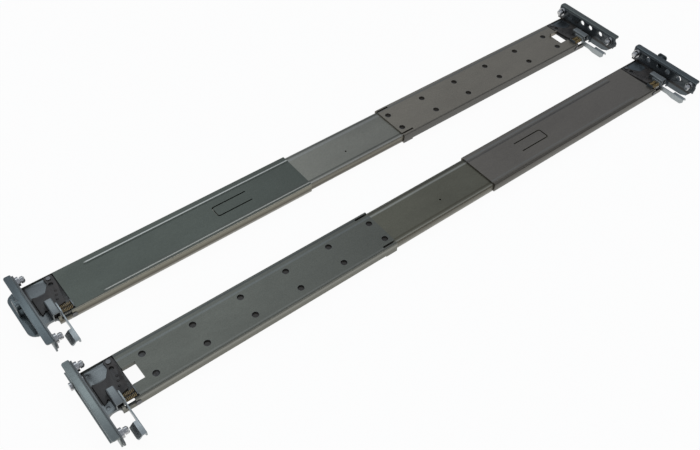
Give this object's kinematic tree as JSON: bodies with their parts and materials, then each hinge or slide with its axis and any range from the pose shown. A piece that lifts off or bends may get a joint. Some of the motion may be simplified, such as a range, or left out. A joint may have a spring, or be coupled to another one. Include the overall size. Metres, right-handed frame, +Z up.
{
  "type": "sliding server rail pair",
  "caption": "Pair of sliding server rails that span between the front and rear posts of a rack, with sprung post latches and ball-bearing slides",
  "frame": {"origin": "middle of the footprint, at the height of the lowest faces", "axes": "X runs along both rails, Y across the pair, Z up. The rails lie on their sides with their webs up; the left rail is at +Y with its front end at -X, the right rail is at -Y with its front end at +X."},
  "size_m": [0.7606, 0.204, 0.0277],
  "materials": {
    "zinc_channel": "zinc-plated cold-rolled sheet steel, satin",
    "zinc_plate": "zinc-plated formed sheet steel, satin",
    "black_latch": "black e-coated sheet steel",
    "bright_steel": "machined steel, bright",
    "spring_brass": "yellow-passivated spring wire",
    "cage_steel": "thin spring steel strip",
    "ball_steel": "hardened and polished steel"
  },
  "bodies": {
    "fixed_front_parts": {"left_front_channel": "zinc_channel", "left_front_bracket": "zinc_plate", "left_front_plate": "zinc_plate", "left_front_pegs": "bright_steel", "left_front_latch_pin": "bright_steel", "left_front_latch_springs": "spring_brass", "left_front_rivets": "bright_steel", "left_cabinet_member": "zinc_channel", "right_front_channel": "zinc_channel", "right_front_bracket": "zinc_plate", "right_front_plate": "zinc_plate", "right_front_pegs": "bright_steel", "right_front_latch_pin": "bright_steel", "right_front_latch_springs": "spring_brass", "right_front_rivets": "bright_steel", "right_cabinet_member": "zinc_channel"},
    "left_front_latch": {"left_front_latch_arm": "black_latch", "left_front_latch_hook": "zinc_plate", "left_front_release_lever": "zinc_plate"},
    "left_rear_extension": {"left_rear_channel": "zinc_channel", "left_rear_bracket": "zinc_plate", "left_rear_plate": "zinc_plate", "left_rear_pegs": "bright_steel", "left_rear_latch_pin": "bright_steel", "left_rear_latch_springs": "spring_brass", "left_rear_rivets": "bright_steel", "left_rear_stud": "bright_steel"},
    "left_rear_latch": {"left_rear_latch_arm": "black_latch", "left_rear_latch_hook": "zinc_plate", "left_rear_release_lever": "zinc_plate"},
    "left_outer_cage": {"left_outer_ball_cage": "cage_steel", "left_outer_balls": "ball_steel"},
    "left_intermediate": {"left_intermediate_member": "zinc_channel"},
    "left_inner_cage": {"left_inner_ball_cage": "cage_steel", "left_inner_balls": "ball_steel"},
    "left_chassis_slide": {"left_chassis_member": "zinc_channel"},
    "left_slide_release": {"left_slide_release": "black_latch"},
    "right_front_latch": {"right_front_latch_arm": "black_latch", "right_front_latch_hook": "zinc_plate", "right_front_release_lever": "zinc_plate"},
    "right_rear_extension": {"right_rear_channel": "zinc_channel", "right_rear_bracket": "zinc_plate", "right_rear_plate": "zinc_plate", "right_rear_pegs": "bright_steel", "right_rear_latch_pin": "bright_steel", "right_rear_latch_springs": "spring_brass", "right_rear_rivets": "bright_steel", "right_rear_stud": "bright_steel"},
    "right_rear_latch": {"right_rear_latch_arm": "black_latch", "right_rear_latch_hook": "zinc_plate", "right_rear_release_lever": "zinc_plate"},
    "right_outer_cage": {"right_outer_ball_cage": "cage_steel", "right_outer_balls": "ball_steel"},
    "right_intermediate": {"right_intermediate_member": "zinc_channel"},
    "right_inner_cage": {"right_inner_ball_cage": "cage_steel", "right_inner_balls": "ball_steel"},
    "right_chassis_slide": {"right_chassis_member": "zinc_channel"},
    "right_slide_release": {"right_slide_release": "black_latch"}
  },
  "joints": [
    {"name": "left_depth_adjust", "type": "slide", "parent": "fixed_front_parts", "child": "left_rear_extension", "axis": [1, 0, 0], "range_m": [-0.028, 0.156]},
    {"name": "left_slide_first_stage", "type": "slide", "parent": "fixed_front_parts", "child": "left_intermediate", "axis": [-1, 0, 0], "range_m": [0, 0.29]},
    {"name": "left_outer_cage_roll", "type": "slide", "parent": "fixed_front_parts", "child": "left_outer_cage", "axis": [-1, 0, 0], "range_m": [0, 0.145]},
    {"name": "left_slide_second_stage", "type": "slide", "parent": "left_intermediate", "child": "left_chassis_slide", "axis": [-1, 0, 0], "range_m": [0, 0.3]},
    {"name": "left_inner_cage_roll", "type": "slide", "parent": "left_intermediate", "child": "left_inner_cage", "axis": [-1, 0, 0], "range_m": [0, 0.15]},
    {"name": "left_front_latch_swing", "type": "hinge", "parent": "fixed_front_parts", "child": "left_front_latch", "pos_m": [-0.33995, 0.0883, 0.0117], "axis": [0, 0, 1], "range_deg": [0, 7], "stiffness_Nm_per_rad": 0.25, "springref_deg": -8.59, "deforming": ["left_front_latch_springs"]},
    {"name": "left_rear_latch_swing", "type": "hinge", "parent": "left_rear_extension", "child": "left_rear_latch", "pos_m": [0.33205, 0.0883, 0.0117], "axis": [0, 0, -1], "range_deg": [0, 7], "stiffness_Nm_per_rad": 0.25, "springref_deg": -8.59, "deforming": ["left_rear_latch_springs"]},
    {"name": "left_slide_release_swing", "type": "hinge", "parent": "left_chassis_slide", "child": "left_slide_release", "pos_m": [-0.23845, 0.0685, 0.0015], "axis": [0, 0, 1], "range_deg": [-5, 5], "stiffness_Nm_per_rad": 0.02},
    {"name": "right_depth_adjust", "type": "slide", "parent": "fixed_front_parts", "child": "right_rear_extension", "axis": [-1, 0, 0], "range_m": [-0.035, 0.149]},
    {"name": "right_slide_first_stage", "type": "slide", "parent": "fixed_front_parts", "child": "right_intermediate", "axis": [1, 0, 0], "range_m": [0, 0.29]},
    {"name": "right_outer_cage_roll", "type": "slide", "parent": "fixed_front_parts", "child": "right_outer_cage", "axis": [1, 0, 0], "range_m": [0, 0.145]},
    {"name": "right_slide_second_stage", "type": "slide", "parent": "right_intermediate", "child": "right_chassis_slide", "axis": [1, 0, 0], "range_m": [0, 0.3]},
    {"name": "right_inner_cage_roll", "type": "slide", "parent": "right_intermediate", "child": "right_inner_cage", "axis": [1, 0, 0], "range_m": [0, 0.15]},
    {"name": "right_front_latch_swing", "type": "hinge", "parent": "fixed_front_parts", "child": "right_front_latch", "pos_m": [0.33995, -0.0239, 0.0117], "axis": [0, 0, -1], "range_deg": [0, 7], "stiffness_Nm_per_rad": 0.25, "springref_deg": -8.59, "deforming": ["right_front_latch_springs"]},
    {"name": "right_rear_latch_swing", "type": "hinge", "parent": "right_rear_extension", "child": "right_rear_latch", "pos_m": [-0.33905, -0.0239, 0.0117], "axis": [0, 0, 1], "range_deg": [0, 7], "stiffness_Nm_per_rad": 0.25, "springref_deg": -8.59, "deforming": ["right_rear_latch_springs"]},
    {"name": "right_slide_release_swing", "type": "hinge", "parent": "right_chassis_slide", "child": "right_slide_release", "pos_m": [0.23845, -0.0437, 0.0015], "axis": [0, 0, 1], "range_deg": [-5, 5], "stiffness_Nm_per_rad": 0.02}
  ],
  "couplings": [
    {"joint": "left_outer_cage_roll", "follows": "left_slide_first_stage", "ratio": 0.5},
    {"joint": "left_inner_cage_roll", "follows": "left_slide_second_stage", "ratio": 0.5},
    {"joint": "right_outer_cage_roll", "follows": "right_slide_first_stage", "ratio": 0.5},
    {"joint": "right_inner_cage_roll", "follows": "right_slide_second_stage", "ratio": 0.5}
  ]
}
